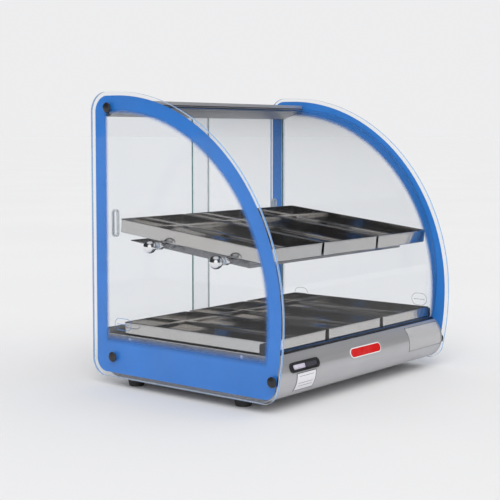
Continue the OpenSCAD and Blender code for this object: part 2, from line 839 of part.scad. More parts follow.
side_glass(-1);  // side_glass_left
side_glass(1);  // side_glass_right
border_print(-1);  // border_print_left
border_print(1);  // border_print_right
panel_cap_screws();
panel_screw_washers();
roof_panel();
roof_end_brackets();
top_door_track();
bottom_door_track();
door_pane(-1, outer_door_y);  // door_glass_left
door_pane(1, inner_door_y);  // door_glass_right
door_pull(-1, outer_door_y);  // door_pull_left
door_pull(1, inner_door_y);  // door_pull_right
front_glass();
front_glass_sill();
front_glass_head_seal();
front_glass_clips();
base_shell();
base_end(-1);  // base_end_left
base_end(1);  // base_end_right
deck_plate();
deck_screws();
base_side_studs();
service_cover();
service_cover_screws();
rubber_feet();
foot_screws();
heating_element();
element_clamps();
insulation_mat();
thermostat_body();
thermostat_bulb();
thermostat_knob();
thermostat_dial();
switch_housing();
switch_rocker();
pilot_light();
terminal_block();
internal_wiring();
cable_gland();
thermometer_bezel();
thermometer_window();
rating_label();
caution_label();
front_badge();
shelf_plate();
shelf_cross_rail();
shelf_studs();
shelf_ball_knobs();
shelf_inner_nuts();
shelf_washers();
upper_pan(0);  // upper_pan_left
upper_pan(1);  // upper_pan_centre
upper_pan(2);  // upper_pan_right
lower_pan(0);  // lower_pan_left
lower_pan(1);  // lower_pan_centre
lower_pan(2);  // lower_pan_right
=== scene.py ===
import json
import math

import bmesh
import bpy
from mathutils import Matrix, Vector


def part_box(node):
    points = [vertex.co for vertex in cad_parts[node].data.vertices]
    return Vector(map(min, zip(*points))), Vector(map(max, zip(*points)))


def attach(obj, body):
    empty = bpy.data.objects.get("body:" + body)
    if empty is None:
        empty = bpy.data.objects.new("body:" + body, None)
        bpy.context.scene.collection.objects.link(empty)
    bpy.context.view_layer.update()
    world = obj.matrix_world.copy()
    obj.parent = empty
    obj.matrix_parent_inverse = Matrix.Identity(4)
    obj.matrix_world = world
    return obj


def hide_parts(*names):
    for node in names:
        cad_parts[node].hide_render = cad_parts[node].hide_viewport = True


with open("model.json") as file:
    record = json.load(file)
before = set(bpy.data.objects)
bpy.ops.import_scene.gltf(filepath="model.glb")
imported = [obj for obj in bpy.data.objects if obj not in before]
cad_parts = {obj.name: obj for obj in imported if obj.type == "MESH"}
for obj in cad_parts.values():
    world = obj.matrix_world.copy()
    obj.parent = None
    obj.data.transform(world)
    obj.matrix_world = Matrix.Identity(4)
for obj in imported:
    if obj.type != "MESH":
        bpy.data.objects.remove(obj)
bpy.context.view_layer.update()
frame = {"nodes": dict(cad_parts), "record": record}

# Looks of a counter-top hot food display case. Everything is in metres, in the row frame:
# X across the case, Y from front to back, Z up from the counter.
MM = 0.001
SLOT_OF = {part["node"]: part["material_slot"] for part in frame["record"]["subparts"]}
BODIES = frame["record"]["behaviour"]["bodies"]
BODY_OF = {node: body for body, members in BODIES.items() for node in members}

# Side glasses: centres of the two front arcs in (y, z), and the printed band's width
ARC_CENTRE = (0.140, 0.130)
LOWER_ARC_CENTRE = (0.240, 0.130)
PRINT_BAND = 23 * MM
PRINT_LOW = 72 * MM
PRINT_TAIL = 9 * MM
PRINT_SOLID = 4 * MM
SILL_SLOPE = 0.6
FILM_SHARE = 0.4

# Share of light that one face of a pane mirrors: seen head on, and added at a grazing angle
GLASS_HEAD_ON = 0.015
GLASS_GRAZING = 0.60

# Pans and their shelf
PAN_LENGTH = 286 * MM
PAN_HEIGHT = {"upper": 21.5 * MM, "lower": 19.2 * MM}
PAN_CORNER = 3 * MM
SHELF_TILT = math.radians(6.2)

# Rolled front of the base: centre in (y, z) and radius
NOSE_CENTRE = (-0.143, 0.052)
NOSE_RADIUS = 37 * MM

# Camera
CAMERA_PLACE = (-1.495, -1.159, 0.394)
CAMERA_YAW = math.radians(39.09 - 90)
CAMERA_PITCH = math.radians(4.2)
CAMERA_LENS = 83.9
CAMERA_SHIFT = -0.06

# Studio: what mirrors see around the case, the even light, and the plain backdrop
ROOM_DIM = 0.05
BOX_ABOVE = 0.8
BOX_BESIDE = 1.2
ROOM_EVEN = 0.72
BACKGROUND = (0.85, 0.85, 0.86)


# ---------------------------------------------------------------- materials


class Shader:
    """A material's node tree, with short calls that add and join its nodes."""

    def __init__(self, name):
        self.material = bpy.data.materials.new(name + "_finish")
        self.material.use_nodes = True
        self.tree = self.material.node_tree
        self.tree.nodes.clear()
        self.coords = self.add("ShaderNodeTexCoord").outputs

    def add(self, kind, inputs=None, **settings):
        node = self.tree.nodes.new(kind)
        for key, value in settings.items():
            setattr(node, key, value)
        for key, value in (inputs or {}).items():
            self.feed(node.inputs[key], value)
        return node

    def feed(self, socket, value):
        if isinstance(value, bpy.types.NodeSocket):
            self.tree.links.new(value, socket)
        else:
            socket.default_value = value

    def noise(self, scale, stretch=(1, 1, 1), detail=3.0, distortion=0.0):
        place = self.add("ShaderNodeMapping", {"Vector": self.coords["Object"], "Scale": stretch})
        inputs = {"Vector": place.outputs[0], "Scale": scale, "Detail": detail, "Distortion": distortion}
        return self.add("ShaderNodeTexNoise", inputs).outputs[0]

    def remap(self, value, low, high, from_low=0.3, from_high=0.7, smooth=False):
        inputs = {"Value": value, "From Min": from_low, "From Max": from_high, "To Min": low, "To Max": high}
        kind = "SMOOTHSTEP" if smooth else "LINEAR"
        return self.add("ShaderNodeMapRange", inputs, interpolation_type=kind).outputs[0]

    def math(self, operation, a, b=0.0):
        return self.add("ShaderNodeMath", {0: a, 1: b}, operation=operation).outputs[0]

    def mix(self, factor, a, b):
        node = self.add("ShaderNodeMix", data_type="RGBA")
        self.feed(node.inputs[0], factor)
        self.feed(node.inputs[6], a if isinstance(a, bpy.types.NodeSocket) else (*a, 1))
        self.feed(node.inputs[7], b if isinstance(b, bpy.types.NodeSocket) else (*b, 1))
        return node.outputs[2]

    def bump(self, height, distance, strength=1.0):
        inputs = {"Height": height, "Distance": distance, "Strength": strength}
        return self.add("ShaderNodeBump", inputs).outputs[0]

    def principled(self, inputs):
        return self.add("ShaderNodeBsdfPrincipled", inputs).outputs[0]

    def blend(self, factor, a, b):
        return self.add("ShaderNodeMixShader", {0: factor, 1: a, 2: b}).outputs[0]

    def clear(self, tint):
        return self.add("ShaderNodeBsdfTransparent", {"Color": (*tint, 1)}).outputs[0]

    def done(self, surface):
        output = self.add("ShaderNodeOutputMaterial")
        self.tree.links.new(surface, output.inputs["Surface"])
        return self.material


def brushed_steel(name, colour, rough, metal=1.0):
    """Stainless sheet: fine lines brushed across the case, cloudy smears and faint colour change."""
    s = Shader(name)
    lines = s.noise(1.0, (9, 1500, 1500), detail=4)
    smears = s.noise(11, detail=5, distortion=0.6)
    fine = s.math("ADD", s.remap(lines, -0.05, 0.05), s.remap(smears, rough[0], rough[1]))
    tone = s.mix(s.remap(lines, 0, 1), [c * 0.94 for c in colour], [min(1, c * 1.05) for c in colour])
    tone = s.mix(s.remap(smears, 0, 0.35), tone, [c * 0.86 for c in colour])
    normal = s.bump(lines, 0.01 * MM, 0.35)
    inputs = {"Base Color": tone, "Metallic": metal, "Roughness": fine, "Normal": normal}
    return s.done(s.principled(inputs))


def polished_steel(name, colour, rough):
    """Mirror-finished pan steel: soft waves, wiping marks and a little heat stain."""
    s = Shader(name)
    waves = s.noise(9, (1, 1.4, 1), detail=2)
    wipes = s.noise(40, (1, 7, 1), detail=5, distortion=1.2)
    stain = s.noise(5, detail=4, distortion=0.4)
    roughness = s.remap(wipes, rough[0], rough[1])
    warm = (colour[0] * 0.96, colour[1] * 0.90, colour[2] * 0.84)
    tone = s.mix(s.remap(stain, 0, 1, 0.35, 0.75), colour, warm)
    tone = s.mix(s.remap(wipes, 0.25, 0), tone, [c * 0.85 for c in colour])
    normal = s.bump(waves, 0.25 * MM, 0.3)
    inputs = {"Base Color": tone, "Metallic": 1.0, "Roughness": roughness, "Normal": normal}
    return s.done(s.principled(inputs))


def chrome(name, colour=(0.86, 0.87, 0.89)):
    s = Shader(name)
    wipes = s.noise(160, detail=3)
    tone = s.mix(s.remap(wipes, 0, 0.3), colour, [c * 0.85 for c in colour])
    inputs = {"Base Color": tone, "Metallic": 1.0, "Roughness": s.remap(wipes, 0.02, 0.07)}
    return s.done(s.principled(inputs))


def plated(name, colour, rough=0.28):
    """Zinc, brass or heat-dulled metal with fine mottling."""
    s = Shader(name)
    spots = s.noise(420, detail=4)
    stain = s.noise(40, detail=3, distortion=0.5)
    tone = s.mix(s.remap(stain, 0, 1), [c * 0.78 for c in colour], [min(1, c * 1.08) for c in colour])
    normal = s.bump(spots, 0.03 * MM, 0.4)
    roughness = s.remap(spots, rough - 0.08, rough + 0.10)
    inputs = {"Base Color": tone, "Metallic": 1.0, "Roughness": roughness, "Normal": normal}
    return s.done(s.principled(inputs))


def moulded(name, colour, rough, grain=700, depth=0.05, worn=0.06):
    """Moulded plastic or rubber: fine spark grain, slight mottling and paler rubbed patches."""
    s = Shader(name)
    texture = s.noise(grain, detail=3)
    patches = s.noise(35, detail=4, distortion=0.4)
    pale = [min(1, c + worn) for c in colour]
    tone = s.mix(s.remap(patches, 0, 0.6, 0.45, 0.75), colour, pale)
    normal = s.bump(texture, depth * MM, 0.5)
    roughness = s.remap(patches, rough - 0.06, rough + 0.08)
    return s.done(s.principled({"Base Color": tone, "Roughness": roughness, "Normal": normal}))


def clear_moulding(name):
    """Clear plastic: mostly see-through, with a pale body and a soft surface shine."""
    s = Shader(name)
    flow = s.noise(180, detail=3, distortion=0.5)
    tone = s.mix(s.remap(flow, 0, 1), (0.70, 0.73, 0.76), (0.80, 0.83, 0.86))
    body = s.principled({"Base Color": tone, "Roughness": s.remap(flow, 0.10, 0.20)})
    return s.done(s.blend(s.remap(flow, 0.30, 0.42), s.clear((0.97, 0.98, 0.98)), body))


def glass_face(name, tint):
    """Polished face of a pane: clear, with a trace of haze, and less mirrored than real glass."""
    s = Shader(name)
    haze = s.noise(9, (1, 1.6, 1), detail=5, distortion=0.8)
    shine = {"Base Color": (1, 1, 1, 1), "Metallic": 1.0, "Roughness": s.remap(haze, 0.01, 0.04)}
    mirror = s.principled(shine)
    film = s.add("ShaderNodeBsdfDiffuse", {"Color": (0.80, 0.83, 0.87, 1)}).outputs[0]
    pane = s.blend(s.remap(haze, 0.0, 0.006, 0.45, 0.75), s.clear(tint), film)
    facing = s.add("ShaderNodeLayerWeight", {"Blend": 0.5}).outputs["Facing"]
    grazing = s.math("MULTIPLY", s.math("POWER", facing, 5), GLASS_GRAZING)
    reflected = s.math("ADD", grazing, GLASS_HEAD_ON)
    return s.done(s.blend(reflected, pane, mirror))


def glass_edge(name, colour, solid=0.75, rough=0.12):
    """Ground and polished edge of a pane, where the glass's own colour gathers."""
    s = Shader(name)
    ripple = s.noise(300, detail=3)
    tone = s.mix(s.remap(ripple, 0, 1), [c * 0.85 for c in colour], [min(1, c * 1.15) for c in colour])
    normal = s.bump(ripple, 0.05 * MM, 0.3)
    body = s.principled({"Base Color": tone, "Roughness": rough, "Normal": normal})
    return s.done(s.blend(solid, s.clear((0.9, 0.97, 0.96)), body))


def border_enamel(name, colour):
    """Blue enamel behind the glass. It fades out towards the clear window over the fade's width."""
    s = Shader(name)
    axis = s.add("ShaderNodeSeparateXYZ", {"Vector": s.coords["Object"]}).outputs
    low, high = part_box("border_print_left")

    def outside_arc(centre, radius):
        dy = s.math("SUBTRACT", axis[1], centre[0])
        dz = s.math("SUBTRACT", axis[2], centre[1])
        length = s.math("SQRT", s.math("ADD", s.math("POWER", dy, 2), s.math("POWER", dz, 2)))
        return s.math("SUBTRACT", length, radius)

    arc = outside_arc(ARC_CENTRE, high.z - PRINT_BAND - ARC_CENTRE[1])
    in_front = s.math("MULTIPLY", s.math("LESS_THAN", axis[1], ARC_CENTRE[0]),
                      s.math("GREATER_THAN", axis[2], ARC_CENTRE[1]))
    arc = s.math("SUBTRACT", s.math("MULTIPLY", s.math("ADD", arc, 1.0), in_front), 1.0)
    lower = outside_arc(LOWER_ARC_CENTRE, LOWER_ARC_CENTRE[0] - low.y - PRINT_BAND)
    below = s.math("LESS_THAN", axis[2], ARC_CENTRE[1])
    lower = s.math("SUBTRACT", s.math("MULTIPLY", s.math("ADD", lower, 1.0), below), 1.0)
    sill = s.math("MULTIPLY", s.math("SUBTRACT", PRINT_LOW, axis[2]), SILL_SLOPE)
    edges = [arc, lower, s.math("SUBTRACT", axis[2], high.z - PRINT_BAND),
             s.math("SUBTRACT", axis[1], high.y - PRINT_BAND), sill]
    depth = edges[0]
    for edge in edges[1:]:
        depth = s.math("MAXIMUM", depth, edge)
    cover = s.math("POWER", s.remap(depth, 0.0, 1.0, -PRINT_TAIL, PRINT_SOLID, smooth=True), 2)
    grain = s.noise(1500, detail=2)
    cloud = s.noise(14, detail=3)
    tone = s.mix(s.remap(cloud, 0, 1), [c * 0.93 for c in colour], [min(1, c * 1.06) for c in colour])
    paint = s.principled({"Base Color": tone, "Roughness": s.remap(grain, 0.32, 0.45)})
    return s.done(s.blend(cover, s.clear((1, 1, 1)), paint))


def label(name, field, line, rules=(), solid=1.0, rim=(0.03, 0.04)):
    """A blank printed label: a plain field inside a thin outline, with a few ruled lines."""
    s = Shader(name)
    axis = s.add("ShaderNodeSeparateXYZ", {"Vector": s.coords["Generated"]}).outputs

    def near_side(value, width):
        middle = s.math("ABSOLUTE", s.math("SUBTRACT", value, 0.5))
        return s.math("GREATER_THAN", middle, 0.5 - width)

    marks = s.math("MAXIMUM", near_side(axis[0], rim[0]), near_side(axis[2], rim[1]))
    for height in rules:
        gap = s.math("ABSOLUTE", s.math("SUBTRACT", axis[2], height))
        across = s.math("LESS_THAN", s.math("ABSOLUTE", s.math("SUBTRACT", axis[0], 0.5)), 0.36)
        marks = s.math("MAXIMUM", marks, s.math("MULTIPLY", s.math("LESS_THAN", gap, 0.012), across))
    paper = s.noise(260, detail=4)
    tone = s.mix(s.remap(paper, 0, 1), [c * 0.96 for c in field], field)
    tone = s.mix(marks, tone, line)
    body = s.principled({"Base Color": tone, "Roughness": s.remap(paper, 0.35, 0.5)})
    if solid < 1:
        body = s.blend(s.math("MAXIMUM", marks, solid), s.clear((1, 1, 1)), body)
    return s.done(body)


def display(name):
    """Pale thermometer scale with fine tick marks along its lower edge."""
    s = Shader(name)
    axis = s.add("ShaderNodeSeparateXYZ", {"Vector": s.coords["Generated"]}).outputs
    ticks = s.math("LESS_THAN", s.math("FRACT", s.math("MULTIPLY", axis[0], 18)), 0.3)
    ticks = s.math("MULTIPLY", ticks, s.math("LESS_THAN", axis[2], 0.34))
    haze = s.noise(120, detail=3)
    tone = s.mix(s.remap(haze, 0, 1), (0.52, 0.48, 0.58), (0.66, 0.62, 0.72))
    tone = s.mix(s.math("MULTIPLY", ticks, 0.8), tone, (0.05, 0.04, 0.06))
    return s.done(s.principled({"Base Color": tone, "Roughness": s.remap(haze, 0.10, 0.18)}))


def felt(name, colour):
    s = Shader(name)
    fibre = s.noise(380, (1, 1, 3), detail=6, distortion=1.5)
    tone = s.mix(s.remap(fibre, 0, 1), [c * 0.7 for c in colour], colour)
    normal = s.bump(fibre, 0.6 * MM, 0.8)
    inputs = {"Base Color": tone, "Roughness": 0.95, "Normal": normal, "Sheen Weight": 0.4}
    return s.done(s.principled(inputs))


def lamp_lens(name):
    s = Shader(name)
    facets = s.noise(500, detail=2)
    tone = s.mix(s.remap(facets, 0, 1), (0.80, 0.28, 0.03), (0.95, 0.45, 0.08))
    inputs = {"Base Color": tone, "Roughness": s.remap(facets, 0.12, 0.22), "Coat Weight": 0.5}
    return s.done(s.principled(inputs))


def painted_floor(name):
    s = Shader(name)
    cloud = s.noise(1.5, detail=3)
    tone = s.mix(s.remap(cloud, 0, 1), (0.79, 0.79, 0.80), (0.81, 0.81, 0.815))
    return s.done(s.principled({"Base Color": tone, "Roughness": 0.85, "Specular IOR Level": 0.1}))


MATERIALS = {
    "glass": glass_face("pane_glass", (0.972, 0.978, 0.985)),
    "border_print": border_enamel("border_enamel", (0.026, 0.215, 0.68)),
    "black_plastic": moulded("black_plastic", (0.018, 0.018, 0.020), 0.34),
    "clear_plastic": clear_moulding("clear_plastic"),
    "rubber": moulded("black_rubber", (0.022, 0.022, 0.023), 0.62, grain=500, depth=0.08),
    "satin_steel": brushed_steel("satin_steel", (0.52, 0.52, 0.54), (0.34, 0.42), 0.55),
    "deck_steel": brushed_steel("deck_steel", (0.50, 0.50, 0.51), (0.18, 0.26)),
    "zinc_steel": plated("zinc_steel", (0.60, 0.61, 0.62)),
    # Darker copy of the brushed steel, at half the other steel's tone: painted shade for parts that sit in
    # shadow
    "shelf_steel": brushed_steel("shelf_steel", (0.26, 0.26, 0.27), (0.20, 0.30)),
    "pan_steel": polished_steel("pan_steel", (0.60, 0.59, 0.58), (0.05, 0.13)),
    "chrome": chrome("chrome"),
    "heater_tube": plated("heater_tube", (0.16, 0.15, 0.14), 0.5),
    "insulation": felt("mineral_felt", (0.78, 0.74, 0.62)),
    "brass": plated("brass", (0.72, 0.50, 0.20)),
    "dial_white": moulded("white_plastic", (0.78, 0.78, 0.76), 0.38, worn=-0.05),
    "switch_red": moulded("red_plastic", (0.55, 0.025, 0.02), 0.22, depth=0.02),
    "lamp_amber": lamp_lens("amber_lens"),
    "wire_red": moulded("wire_sleeve", (0.50, 0.06, 0.04), 0.42),
    "display": display("display_window"),
    "label_white": label("white_label", (0.80, 0.80, 0.83), (0.10, 0.10, 0.12), rules=(0.26, 0.42, 0.80)),
    "label_clear": label("clear_label", (0.74, 0.74, 0.75), (0.05, 0.05, 0.06), solid=0.35,
                         rim=(0.006, 0.014)),
    "badge_red": moulded("red_enamel", (0.60, 0.012, 0.012), 0.18, depth=0.01),
}
EDGE_WHITE = glass_edge("edge_white", (0.86, 0.90, 0.95), 0.85)
EDGE_PALE = glass_edge("edge_pale", (0.22, 0.42, 0.78), 0.8)
EDGE_BLUE = glass_edge("edge_blue", (0.05, 0.20, 0.55), 0.8)
EDGE_TEAL = glass_edge("edge_teal", (0.03, 0.16, 0.15), 0.85)
EDGE_GREY = glass_edge("edge_grey", (0.24, 0.29, 0.31), 0.6)
BADGE_WHITE = moulded("white_enamel", (0.80, 0.80, 0.80), 0.2, depth=0.01, worn=-0.03)
DISPLAY_DARK = moulded("dark_display", (0.055, 0.055, 0.065), 0.16, depth=0.01)


# ---------------------------------------------------------------- mesh tools


def piece(name, bm, body, slot, materials, replaced=()):
    """Makes a named piece that rides on a body and may replace CAD nodes; the slot argument is not used."""
    mesh = bpy.data.meshes.new(name)
    bm.to_mesh(mesh)
    bm.free()
    obj = bpy.data.objects.new(name, mesh)
    bpy.context.scene.collection.objects.link(obj)
    for material in materials:
        mesh.materials.append(material)
    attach(obj, body)
    if replaced:
        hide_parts(*replaced)
    return obj


def smooth(obj, weighted=True):
    for face in obj.data.polygons:
        face.use_smooth = True
    if weighted:
        modifier = obj.modifiers.new("even_normals", "WEIGHTED_NORMAL")
        modifier.weight = 80
        modifier.keep_sharp = True


def cleaned(node):
    """The CAD node's mesh with its seams joined and its flat faces whole."""
    bm = bmesh.new()
    bm.from_mesh(frame["nodes"][node].data)
    bmesh.ops.remove_doubles(bm, verts=bm.verts, dist=2e-6)
    flat = math.radians(0.4)
    bmesh.ops.dissolve_limit(bm, angle_limit=flat, verts=bm.verts, edges=bm.edges)
    return bm


def round_edges(bm, width, segments, angle=34):
    """Rounds every edge sharper than the angle, in degrees."""
    limit = math.radians(angle)
    sharp = [e for e in bm.edges if len(e.link_faces) == 2 and e.calc_face_angle(0) > limit]
    bmesh.ops.bevel(bm, geom=sharp, offset=width, segments=segments, profile=0.5, affect="EDGES",
                    clamp_overlap=True, offset_type="OFFSET")


def softened(node, width=0.3 * MM, segments=2, material=None):
    """Stands in for a CAD node with the same shape and rounded edges."""
    bm = cleaned(node)
    round_edges(bm, width, segments)
    slot = SLOT_OF[node]
    obj = piece(node + "_look", bm, BODY_OF[node], slot, [material or MATERIALS[slot]], [node])
    smooth(obj)
    return obj


def glazed(node, edge, part_of, arris=0.45 * MM):
    """Stands in for a pane: polished faces (part 0), edges (part 1) and a small pale arris (part 2)."""
    bm = cleaned(node)
    round_edges(bm, arris, 2, 50)
    bm.normal_update()
    for face in bm.faces:
        face.material_index = part_of(face)
    materials = [MATERIALS["glass"], edge, EDGE_WHITE]
    obj = piece(node + "_look", bm, BODY_OF[node], "glass", materials, [node])
    smooth(obj)
    return obj


def turned(bm, profile, place, steps=40):
    """Adds a turned solid to bm: profile is a list of (height, radius) along local Z, placed by a matrix."""
    rings = []
    for height, radius in profile:
        if radius < 1e-7:
            rings.append([bm.verts.new(place @ Vector((0, 0, height)))])
            continue
        turn = [2 * math.pi * i / steps for i in range(steps)]
        rings.append([bm.verts.new(place @ Vector((radius * math.cos(a), radius * math.sin(a), height)))
                      for a in turn])
    for lower, upper in zip(rings, rings[1:]):
        for i in range(steps):
            j = (i + 1) % steps
            if len(lower) == 1:
                bm.faces.new((lower[0], upper[j], upper[i]))
            elif len(upper) == 1:
                bm.faces.new((lower[i], lower[j], upper[0]))
            else:
                bm.faces.new((lower[i], lower[j], upper[j], upper[i]))


def arc_profile(centre, radius, start, end, steps):
    """Points (height, radius) on an arc about a centre on the profile plane; angles in degrees."""
    out = []
    for i in range(steps + 1):
        a = math.radians(start + (end - start) * i / steps)
        out.append((centre[0] + radius * math.sin(a), centre[1] + radius * math.cos(a)))
    return out


def oval(width, length, radius, per_corner=6, along=(1, 1)):
    """Closed outline of a round-cornered rectangle about the origin, counter-clockwise."""
    radius = max(radius, 0.02 * MM)
    corners = [(1, 1, 0), (-1, 1, 90), (-1, -1, 180), (1, -1, 270)]
    arcs = []
    for sx, sy, turn in corners:
        cx = sx * (width / 2 - radius)
        cy = sy * (length / 2 - radius)
        arcs.append([(cx + radius * math.cos(math.radians(turn + 90 * k / per_corner)),
                      cy + radius * math.sin(math.radians(turn + 90 * k / per_corner)))
                     for k in range(per_corner + 1)])
    points = []
    for index, arc in enumerate(arcs):
        points += arc
        following = arcs[(index + 1) % 4][0]
        parts = along[index % 2]
        for k in range(1, parts):
            share = k / parts
            points.append((arc[-1][0] * (1 - share) + following[0] * share,
                           arc[-1][1] * (1 - share) + following[1] * share))
    return points


def loft(bm, rings, close_start=True, close_end=True):
    """Skins equal rings of vertices, and fills both ends."""
    for lower, upper in zip(rings, rings[1:]):
        count = len(lower)
        for i in range(count):
            j = (i + 1) % count
            bm.faces.new((lower[i], lower[j], upper[j], upper[i]))
    if close_start:
        bm.faces.new(list(reversed(rings[0])))
    if close_end:
        bm.faces.new(rings[-1])


def pillow_slab(bm, width, length, radius, low, high, edge, place, steps=3):
    """Adds a thin plate with round corners and a rounded top edge, placed by a matrix."""
    rings = [[bm.verts.new(place @ Vector((x, y, low))) for x, y in oval(width, length, radius)]]
    for k in range(steps + 1):
        a = math.pi / 2 * k / steps
        inset = edge * (1 - math.cos(a))
        z = high - edge + edge * math.sin(a)
        outline = oval(width - 2 * inset, length - 2 * inset, radius - inset)
        rings.append([bm.verts.new(place @ Vector((x, y, z))) for x, y in outline])
    loft(bm, rings)


# ---------------------------------------------------------------- glass and print


def part_by_slope(across):
    """Part of a flat pane's face, from how far the face points across the pane."""
    if abs(across) > 0.99:
        return 0
    return 1 if abs(across) < 0.1 else 2


def side_panes():
    for side in ("left", "right"):
        glazed("side_glass_" + side, EDGE_PALE, lambda face: part_by_slope(face.normal.x), 0.9 * MM)
        border(side)
        glass_stamp(side)


def border(side):
    """The printed film, kept a hair clear of the glass that it is fired on."""
    node = "border_print_" + side
    bm = cleaned(node)
    low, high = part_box(node)
    middle = (low.x + high.x) / 2
    for vert in bm.verts:
        vert.co.x = middle + (vert.co.x - middle) * FILM_SHARE
    widen_print(bm, middle, low, high)
    piece(node + "_look", bm, BODY_OF[node], SLOT_OF[node], [MATERIALS["border_print"]], [node])


def widen_print(bm, middle, low, high):
    """Moves the window's outline inwards on both faces of the film, to make room for the fade's tail."""
    reach = PRINT_TAIL + 1 * MM
    heart = ((low.y + high.y) / 2, (low.z + high.z) / 2)
    window = [v for v in bm.verts if on_window(v.co, low, high)]
    moves = {}
    for vert in window:
        near = {v for v in window if (v.co.x < middle) == (vert.co.x < middle)}
        sides = [e.other_vert(vert).co - vert.co for e in vert.link_edges if e.other_vert(vert) in near]
        normals = [Vector((0, -side.z, side.y)).normalized() for side in sides]
        inwards = Vector((0, heart[0] - vert.co.y, heart[1] - vert.co.z))
        normals = [n if n.dot(inwards) > 0 else -n for n in normals]
        total = sum(normals, Vector())
        moves[vert] = total * reach / (1 + normals[0].dot(normals[1]))
    for vert, move in moves.items():
        vert.co += move


def on_window(point, low, high):
    """Whether a point of the film lies on the outline of the clear window."""
    slack = 0.4 * MM
    inset = PRINT_BAND - slack
    if point.z < PRINT_LOW - slack or point.z > high.z - inset + slack * 2:
        return False
    if point.y > high.y - inset + slack * 2:
        return False
    if point.z >= ARC_CENTRE[1] and point.y <= ARC_CENTRE[0]:
        radius = math.hypot(point.y - ARC_CENTRE[0], point.z - ARC_CENTRE[1])
        return radius < high.z - ARC_CENTRE[1] - inset + slack * 2
    if point.z < ARC_CENTRE[1]:
        radius = math.hypot(point.y - LOWER_ARC_CENTRE[0], point.z - LOWER_ARC_CENTRE[1])
        return radius < LOWER_ARC_CENTRE[0] - low.y - inset + slack * 2
    return True


def glass_stamp(side):
    """Etched round-cornered marks on a side glass, with nothing written in them."""
    low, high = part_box("side_glass_" + side)
    outer = low.x if side == "left" else high.x
    direction = -1 if side == "left" else 1
    sites = STAMPS[side]
    bm = bmesh.new()
    for y, z, width, height in sites:
        for scale, line in ((1.0, 0.9 * MM), (0.72, 0.5 * MM)):
            w, h = width * scale, height * scale
            outline = oval(w, h, h * 0.49, 8)
            inner = oval(w - 2 * line, h - 2 * line, h * 0.49 - line, 8)
            rings = []
            for points, height in ((outline, 0.0), (outline, 0.06 * MM), (inner, 0.06 * MM), (inner, 0.0)):
                rings.append([bm.verts.new((outer + direction * height, y + v, z + w)) for v, w in points])
            rings.append(rings[0])
            loft(bm, rings, False, False)
    bmesh.ops.recalc_face_normals(bm, faces=bm.faces)
    piece(f"glass_stamp_{side}", bm, "case", "border_print", [STAMP_BLUE if side == "left" else STAMP_GREY])


def stamp_material(name, colour, solid):
    s = Shader(name)
    etch = s.noise(900, detail=2)
    body = s.principled({"Base Color": (*colour, 1), "Roughness": s.remap(etch, 0.4, 0.7)})
    return s.done(s.blend(s.remap(etch, solid * 0.7, solid), s.clear((1, 1, 1)), body))


STAMPS = {
    "left": [(0.122, 0.100, 36 * MM, 19 * MM)],
    "right": [(0.120, 0.101, 30 * MM, 21 * MM), (-0.132, 0.112, 30 * MM, 21 * MM)],
}
STAMP_BLUE = stamp_material("stamp_blue", (0.10, 0.30, 0.70), 0.75)
STAMP_GREY = stamp_material("stamp_grey", (0.30, 0.34, 0.40), 0.45)


def doors():
    for side, edge in (("left", EDGE_GREY), ("right", EDGE_TEAL)):
        glazed("door_glass_" + side, edge, lambda face: part_by_slope(face.normal.y))
        softened("door_pull_" + side, 0.35 * MM, 3)


def curved_front():
    low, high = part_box("front_glass")

    def part_of(face):
        centre = face.calc_center_median()
        at_end = centre.z < low.z + 0.7 * MM or centre.y > high.y - 0.7 * MM
        return 1 if abs(face.normal.x) > 0.7 or at_end else 0

    glazed("front_glass", EDGE_BLUE, part_of)


# ---------------------------------------------------------------- pans


def pan_rings(bm, width, tall, place, phase):
    """Rings of a pressed pan from its underside, over the folded hem, to the middle of its floor."""
    hem = 0.8 * MM
    wall = 0.9 * MM
    length = PAN_LENGTH
    fold = (hem + wall) / 2
    rings = []

    def ring(inset, height, wave=0.0):
        points = oval(width - 2 * inset, length - 2 * inset, PAN_CORNER - inset, 5, (12, 6))
        verts = []
        for x, s in points:
            lift = wave * floor_wave(x / width, s / length, phase)
            verts.append(bm.verts.new(place @ Vector((x, s + length / 2, height + lift))))
        rings.append(verts)

    under = 2.2 * MM
    ring(hem + 12 * MM, 0.0)
    for k in range(5):
        a = math.radians(90 * k / 4)
        ring(hem + under * (1 - math.sin(a)), under * (1 - math.cos(a)))
    hem_low = tall - 2.4 * MM
    ring(hem, hem_low)
    ring(hem * 0.35, hem_low + 0.1 * MM)
    ring(0.0, hem_low + 0.5 * MM)
    for k in range(7):
        a = math.pi * k / 6
        ring(fold - fold * math.cos(a), tall - fold + fold * math.sin(a))
    fillet = 4.5 * MM
    inner = hem + wall
    for k in range(7):
        a = math.radians(90 * k / 6)
        ring(inner + fillet * (1 - math.cos(a)), wall + fillet * (1 - math.sin(a)))
    for inset in (9, 13, 19, 27, 36, 46, 56):
        ring(inner + inset * MM, wall, 1.0)
    return rings


def floor_wave(u, v, phase):
    """Height of the pan floor's gentle pressing waves, in metres; u and v run from -0.5 to 0.5."""
    edge = max(0.0, 1 - (2 * u) ** 2) * max(0.0, 1 - (2 * v) ** 4)
    waves = math.sin(7.1 * u + 3 * v + phase) + 0.7 * math.sin(5 * v - 4 * u + 2.3 * phase)
    return edge * (0.16 * MM * waves - 0.25 * MM)


def pans():
    for level in ("lower", "upper"):
        for index, side in enumerate(("left", "centre", "right")):
            node = f"{level}_pan_{side}"
            low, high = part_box(node)
            tilt = SHELF_TILT if level == "upper" else 0.0
            front = high.y - PAN_LENGTH * math.cos(tilt)
            turn = Matrix.Rotation(tilt, 4, "X")
            place = Matrix.Translation(((low.x + high.x) / 2, front, low.z)) @ turn
            bm = bmesh.new()
            phase = 1.3 * index + (2.1 if level == "upper" else 0)
            loft(bm, pan_rings(bm, high.x - low.x, PAN_HEIGHT[level], place, phase))
            obj = piece(node + "_look", bm, BODY_OF[node], "pan_steel", [MATERIALS["pan_steel"]], [node])
            smooth(obj)


# ---------------------------------------------------------------- fittings


